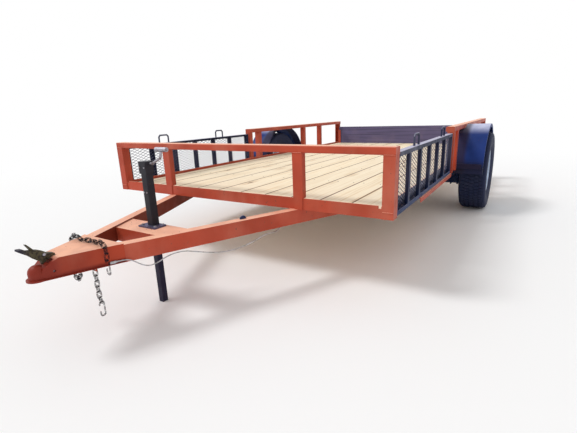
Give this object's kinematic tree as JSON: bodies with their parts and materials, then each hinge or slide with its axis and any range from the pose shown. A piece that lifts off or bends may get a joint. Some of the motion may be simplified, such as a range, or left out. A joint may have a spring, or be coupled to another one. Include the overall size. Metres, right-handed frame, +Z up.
{
  "type": "utility trailer",
  "caption": "Flat utility trailer with low tube rails, a plank deck, side ramps stored on edge, an A-frame tongue with ball coupler and a drop-leg jack.",
  "frame": {"origin": "centre of the trailer's length and width, on the ground", "axes": "+X to the trailer's left side, -Y forward to the coupler, +Z up"},
  "size_m": [2.47, 4.866, 0.7835],
  "materials": {
    "orange_paint": "orange-red enamel, sun-faded on top faces, chipped at edges",
    "pine_deck": "pale treated pine boards with knots",
    "black_paint": "black enamel with a bluish sheen",
    "stained_board": "black-painted plank, grain showing",
    "zinc_steel": "zinc plated",
    "worn_latch_steel": "worn and browned plating",
    "wheel_white": "white wheel enamel, dusty",
    "tyre_rubber": "black rubber, dusty in the grooves",
    "chain_black": "blackened chain, rusted at the crowns",
    "harness_grey": "grey cable sheath, grubby",
    "lamp_red": "clear red lens"
  },
  "bodies": {
    "chassis": {"front_sill": "orange_paint", "rear_sill": "orange_paint", "side_sill_left": "orange_paint", "side_sill_right": "orange_paint", "crossmembers": "orange_paint", "deck_planks": "pine_deck", "front_rail": "orange_paint", "front_posts": "orange_paint", "rail_caps": "orange_paint", "side_rail_left": "orange_paint", "side_rail_right": "orange_paint", "side_posts_left": "orange_paint", "side_posts_right": "orange_paint", "ramp_ledge_left": "orange_paint", "ramp_ledge_right": "orange_paint", "board_brackets": "orange_paint", "tongue_beam_left": "orange_paint", "tongue_beam_right": "orange_paint", "jack_bridge": "orange_paint", "coupler_body": "orange_paint", "coupler_latch": "worn_latch_steel", "safety_chain_left": "chain_black", "safety_chain_right": "chain_black", "harness_cord": "harness_grey", "harness_plug": "harness_grey", "jack_sleeve": "black_paint", "jack_collar": "zinc_steel", "jack_crank": "zinc_steel", "axle": "black_paint", "leaf_spring_left": "black_paint", "leaf_spring_right": "black_paint", "spring_hangers": "black_paint", "axle_clamps": "black_paint", "fender_left": "black_paint", "fender_right": "black_paint", "fender_braces": "black_paint", "lamp_brackets": "orange_paint", "tail_lamp_left": "lamp_red", "tail_lamp_right": "lamp_red"},
    "wheel_left": {"tyre_left": "tyre_rubber", "rim_left": "wheel_white", "hub_left": "zinc_steel"},
    "wheel_right": {"tyre_right": "tyre_rubber", "rim_right": "wheel_white", "hub_right": "zinc_steel"},
    "ramp_left": {"ramp_frame_left": "black_paint", "ramp_mesh_left": "black_paint"},
    "ramp_right": {"ramp_frame_right": "black_paint", "ramp_mesh_right": "black_paint"},
    "jack_leg": {"jack_leg": "black_paint"},
    "rear_board": {"rear_board": "stained_board"}
  },
  "joints": [
    {"name": "wheel_left_spin", "type": "hinge", "parent": "chassis", "child": "wheel_left", "pos_m": [1.127, 0.87895, 0.344], "axis": [1, 0, 0], "continuous": true},
    {"name": "wheel_right_spin", "type": "hinge", "parent": "chassis", "child": "wheel_right", "pos_m": [-1.127, 0.87895, 0.344], "axis": [1, 0, 0], "continuous": true},
    {"name": "jack_lift", "type": "slide", "parent": "chassis", "child": "jack_leg", "axis": [0, 0, 1], "range_m": [-0.1, 0.2]},
    {"name": "ramp_left_lift", "type": "slide", "parent": "chassis", "child": "ramp_left", "axis": [0, 0, 1], "range_m": [0, 0.4]},
    {"name": "ramp_right_lift", "type": "slide", "parent": "chassis", "child": "ramp_right", "axis": [0, 0, 1], "range_m": [0, 0.4]},
    {"name": "board_lift", "type": "slide", "parent": "chassis", "child": "rear_board", "axis": [0, 0, 1], "range_m": [0, 0.3]}
  ]
}
